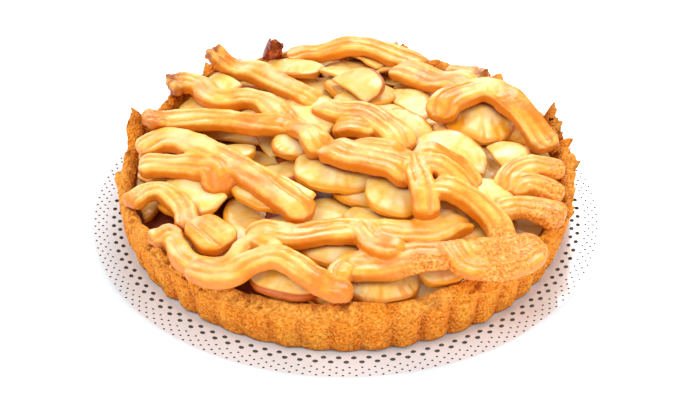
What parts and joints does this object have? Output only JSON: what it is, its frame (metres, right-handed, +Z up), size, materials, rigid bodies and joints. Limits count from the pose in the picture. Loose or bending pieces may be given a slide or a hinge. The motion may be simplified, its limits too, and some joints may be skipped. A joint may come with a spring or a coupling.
{
  "type": "apple tart",
  "caption": "Round fluted apple tart with heaped apple slices under thick piped baked strands, on its white pierced plate.",
  "frame": {"origin": "centre of the plate's foot ring, on the surface that the plate stands on", "axes": "+Z up; the pictured side faces -Y, with +X to its right"},
  "size_m": [0.282, 0.282, 0.0698],
  "materials": {
    "porcelain": "glossy white glaze",
    "shortcrust": "dry crumbly golden bake",
    "cooked_apple": "moist glazed apple",
    "apple_flesh": "moist glazed apple flesh",
    "baked_strand": "glazed golden bake",
    "baked_peel": "dark baked peel"
  },
  "bodies": {
    "root": {"plate": "porcelain", "crust": "shortcrust", "apple_filling": "cooked_apple", "peel_curl": "baked_peel", "slice_back_left": "apple_flesh", "slice_back": "apple_flesh", "slice_back_folded": "apple_flesh", "slice_middle_left": "apple_flesh", "slice_left_short": "apple_flesh", "slice_left": "apple_flesh", "slice_long_left": "apple_flesh", "slice_near_middle": "apple_flesh", "slice_front_middle": "apple_flesh", "slice_right_pale": "apple_flesh", "slice_right_baked": "apple_flesh", "slice_right_broad": "apple_flesh", "slice_peel_right": "apple_flesh", "slice_ribbed": "apple_flesh", "slice_front_leaf": "apple_flesh", "slice_front_yellow": "apple_flesh", "slice_front_right": "apple_flesh", "piped_strand_2": "baked_strand", "piped_strand_3": "baked_strand", "piped_strand_4": "baked_strand", "piped_strand_5": "baked_strand", "piped_strand_6": "baked_strand", "piped_strand_7": "baked_strand", "piped_strands": "baked_strand"}
  },
  "joints": []
}
